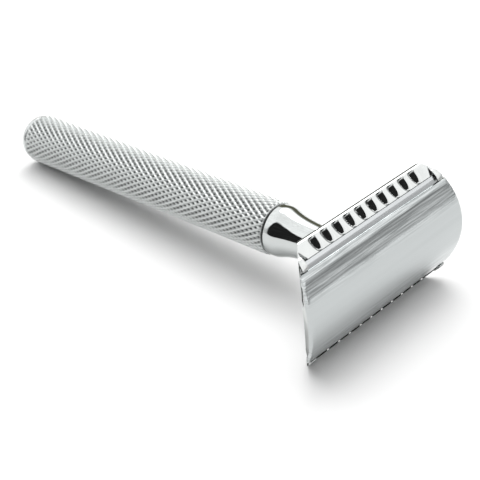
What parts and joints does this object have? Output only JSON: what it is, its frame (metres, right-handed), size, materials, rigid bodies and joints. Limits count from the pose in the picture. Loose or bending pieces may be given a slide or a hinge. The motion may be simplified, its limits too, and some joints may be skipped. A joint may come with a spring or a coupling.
{
  "type": "safety razor",
  "caption": "Double-edge safety razor: long knurled handle, tapered polished neck, scalloped guard plate, bent blade and domed cap that unscrews to free the blade.",
  "frame": {"origin": "centre of the flat end face of the handle, on the handle's axis", "axes": "+X along the handle's axis from its flat end to the head; +Y along the blade's edges; +Z across the head from one cutting edge to the other"},
  "size_m": [0.1037, 0.0446, 0.0256],
  "materials": {
    "knurled_chrome": "chrome plate over diamond knurl, bright ridges and darker pits",
    "end_chrome": "polished chrome plate",
    "neck_chrome": "mirror polished chrome plate",
    "plate_chrome": "bright chrome plate, darker in the scallops",
    "blade_steel": "cold rolled stainless strip, ground along both edges",
    "polished_chrome": "mirror polished chrome plate with faint hairlines along the cap",
    "stud_chrome": "chrome plated thread",
    "pin_chrome": "chrome plated pin"
  },
  "bodies": {
    "handle": {"knurled_grip": "knurled_chrome", "grip_end_plug": "end_chrome", "neck_collar": "neck_chrome"},
    "guard": {"base_plate": "plate_chrome"},
    "loose_blade": {"blade": "blade_steel"},
    "cap": {"top_cap": "polished_chrome", "cap_stud": "stud_chrome", "cap_pin_left": "pin_chrome", "cap_pin_right": "pin_chrome"}
  },
  "joints": [
    {"name": "head_turn", "type": "hinge", "parent": "handle", "child": "guard", "pos_m": [0.09746, 0, 0], "axis": [1, 0, 0], "range_deg": [0, 2250]},
    {"name": "cap_lift", "type": "slide", "parent": "guard", "child": "cap", "axis": [1, 0, 0], "range_m": [0, 0.005]},
    {"name": "blade_lift", "type": "slide", "parent": "guard", "child": "loose_blade", "axis": [1, 0, 0], "range_m": [0, 0.0025]}
  ],
  "couplings": [
    {"joint": "cap_lift", "follows": "head_turn", "m_per_rad": 0.00012732},
    {"joint": "blade_lift", "follows": "head_turn", "m_per_rad": 0.00006366}
  ]
}
